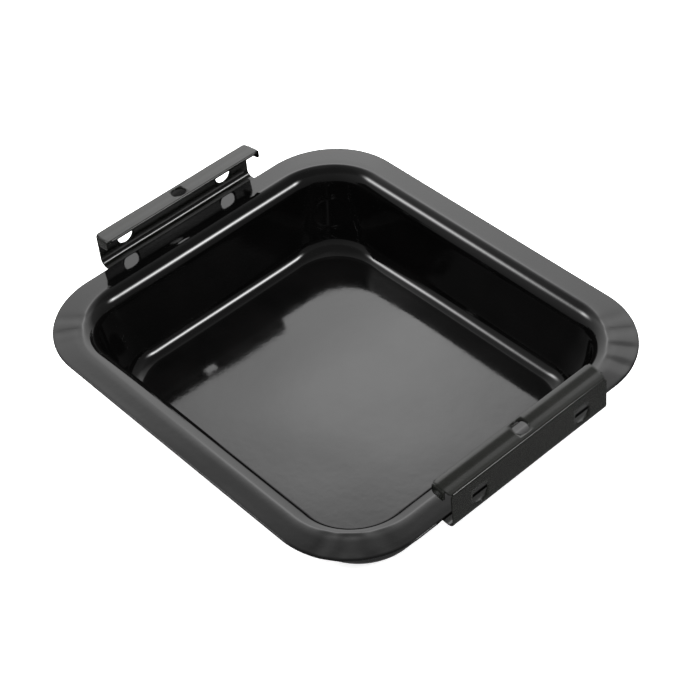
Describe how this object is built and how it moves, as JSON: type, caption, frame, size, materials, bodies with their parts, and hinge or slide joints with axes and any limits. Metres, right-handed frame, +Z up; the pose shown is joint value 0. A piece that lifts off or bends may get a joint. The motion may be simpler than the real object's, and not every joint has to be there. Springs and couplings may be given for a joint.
{
  "type": "oil drain pan",
  "caption": "Shallow rectangular drain pan of black enamelled sheet steel, with rounded corners, a wide flat rim and a folded channel handle at each end.",
  "frame": {"origin": "middle of the flat underside of the pan, on the surface that it stands on", "axes": "+X from the left handle to the right handle, +Y along the handles, +Z up out of the pan"},
  "size_m": [0.3182, 0.2636, 0.0795],
  "materials": {
    "black_enamel": "glossy vitreous enamel"
  },
  "bodies": {
    "root": {"tray": "black_enamel", "left_handle": "black_enamel", "right_handle": "black_enamel"}
  },
  "joints": []
}
